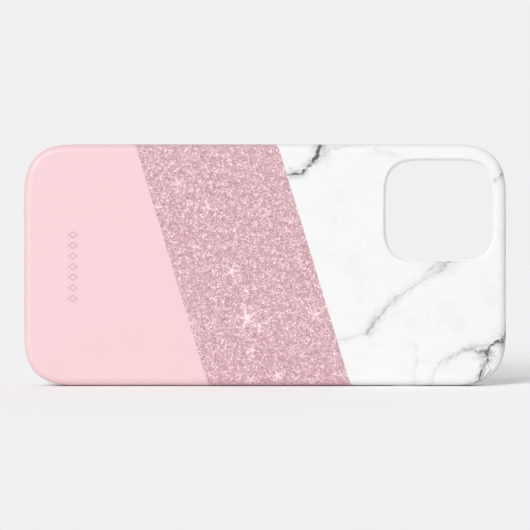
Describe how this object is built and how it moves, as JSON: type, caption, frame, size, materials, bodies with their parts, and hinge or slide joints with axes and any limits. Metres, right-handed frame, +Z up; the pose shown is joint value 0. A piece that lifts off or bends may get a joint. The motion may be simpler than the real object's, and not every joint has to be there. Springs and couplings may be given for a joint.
{
  "type": "phone case",
  "caption": "Layered phone case: a printed hard shell over a soft liner with a raised front lip, a camera opening, end slots and captive side buttons.",
  "frame": {"origin": "under the middle of the case, on the long volume-key side that it stands on, halfway through its depth", "axes": "+X along the length towards the phone's top end, +Y out of the open front where the phone goes in, +Z up across the width; the printed back faces -Y"},
  "size_m": [0.1504, 0.0108, 0.0753],
  "materials": {
    "printed_polycarbonate": "print in blush pink, rose glitter and white marble under a semi-gloss clear coat",
    "liner_elastomer": "pale grey, fine matt",
    "cap_aluminium": "brushed, rose anodised",
    "plunger_elastomer": "grey, matt"
  },
  "bodies": {
    "shell": {"outer_shell": "printed_polycarbonate"},
    "liner": {"inner_liner": "liner_elastomer"},
    "volume_up": {"volume_up_cap": "cap_aluminium", "volume_up_plunger": "plunger_elastomer"},
    "volume_down": {"volume_down_cap": "cap_aluminium", "volume_down_plunger": "plunger_elastomer"},
    "side_button": {"side_button_cap": "cap_aluminium", "side_button_plunger": "plunger_elastomer"}
  },
  "joints": [
    {"name": "liner_lift_off", "type": "slide", "parent": "shell", "child": "liner", "axis": [0, 1, 0], "range_m": [0, 0.02]},
    {"name": "volume_up_press", "type": "slide", "parent": "liner", "child": "volume_up", "axis": [0, 0, 1], "range_m": [0, 0.0004]},
    {"name": "volume_down_press", "type": "slide", "parent": "liner", "child": "volume_down", "axis": [0, 0, 1], "range_m": [0, 0.0004]},
    {"name": "side_button_press", "type": "slide", "parent": "liner", "child": "side_button", "axis": [0, 0, -1], "range_m": [0, 0.0004]}
  ]
}
